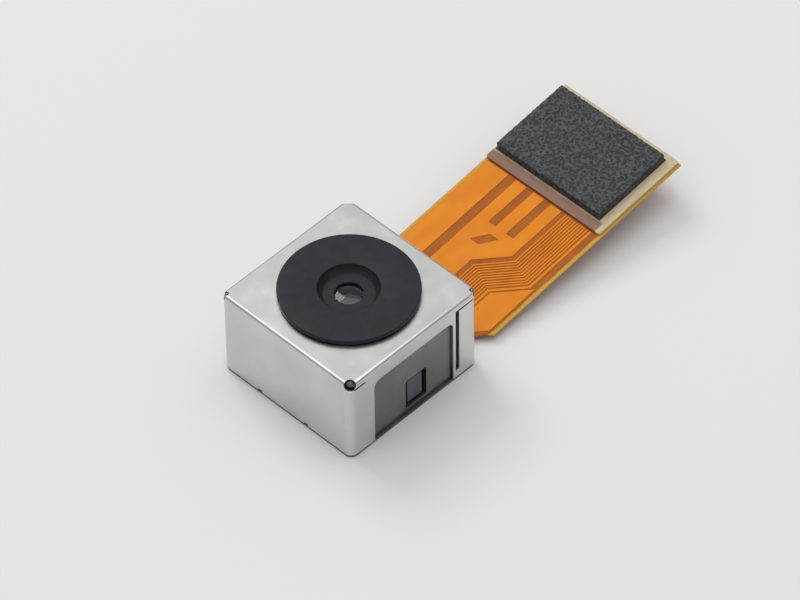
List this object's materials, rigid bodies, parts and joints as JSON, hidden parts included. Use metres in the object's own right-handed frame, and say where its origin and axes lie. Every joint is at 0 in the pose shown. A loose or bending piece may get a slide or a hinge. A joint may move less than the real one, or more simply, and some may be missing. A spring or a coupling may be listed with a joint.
{
  "type": "camera module",
  "caption": "Square autofocus camera module in a folded metal can, with a round black lens flange on top and an orange flexible circuit tail ending in a foam-backed connector.",
  "frame": {"origin": "on the optical axis, at the underside of the base plate", "axes": "+Z along the optical axis toward the scene, +Y toward the far end of the flexible tail, +X toward the can wall with the side cut-out"},
  "size_m": [0.0104, 0.0284, 0.0067],
  "materials": {
    "can_sheet": "nickel-silver sheet, satin",
    "yoke_steel": "dark plated steel, satin",
    "plate_steel": "dark steel",
    "magnet": "nickel plated",
    "moulding": "glass-filled, matt",
    "spring_alloy": "etched copper alloy",
    "contact_gold": "gold flash",
    "anchor_metal": "tin over brass",
    "filter_glass": "blue glass",
    "silicon": "polished die",
    "board_laminate": "solder mask",
    "chip_black": "moulded package",
    "ceramic": "ceramic with tinned ends",
    "polyimide": "amber film, glossy",
    "trace_copper": "copper under amber film",
    "stiffener_film": "cream translucent film",
    "adhesive": "thin tape",
    "foam": "conductive foam, speckled",
    "connector_resin": "moulded resin",
    "barrel_black": "polished black",
    "coil_wire": "enamelled copper wire",
    "lens_glass": "coated lens",
    "blackout_film": "blackened film"
  },
  "bodies": {
    "housing": {"shield_can": "can_sheet", "yoke": "yoke_steel", "magnets": "magnet", "upper_frame": "moulding", "upper_spring": "spring_alloy", "lower_spring": "spring_alloy", "actuator_base": "moulding", "actuator_terminals": "contact_gold", "filter_holder": "moulding", "infrared_filter": "filter_glass", "image_sensor": "silicon", "sensor_board": "board_laminate", "driver_chip": "chip_black", "memory_chip": "chip_black", "capacitors": "ceramic", "base_plate": "plate_steel", "flex_tail": "polyimide", "copper_traces": "trace_copper", "tail_stiffener": "stiffener_film", "foam_adhesive": "adhesive", "foam_pad": "foam", "connector_body": "connector_resin", "connector_contacts": "contact_gold", "connector_anchors": "anchor_metal"},
    "lens": {"lens_barrel": "barrel_black", "lens_carrier": "moulding", "focus_coil": "coil_wire", "lens_1": "lens_glass", "lens_2": "lens_glass", "lens_3": "lens_glass", "lens_4": "lens_glass", "lens_5": "lens_glass", "aperture_stop": "blackout_film", "spacer_1": "blackout_film", "spacer_2": "blackout_film", "spacer_3": "blackout_film", "retaining_ring": "moulding"}
  },
  "joints": [
    {"name": "focus_slide", "type": "slide", "parent": "housing", "child": "lens", "axis": [0, 0, 1], "range_m": [0, 0.0003], "stiffness_N_per_m": 40, "springref_m": -0.0001, "deforming": ["upper_spring", "lower_spring"]}
  ]
}
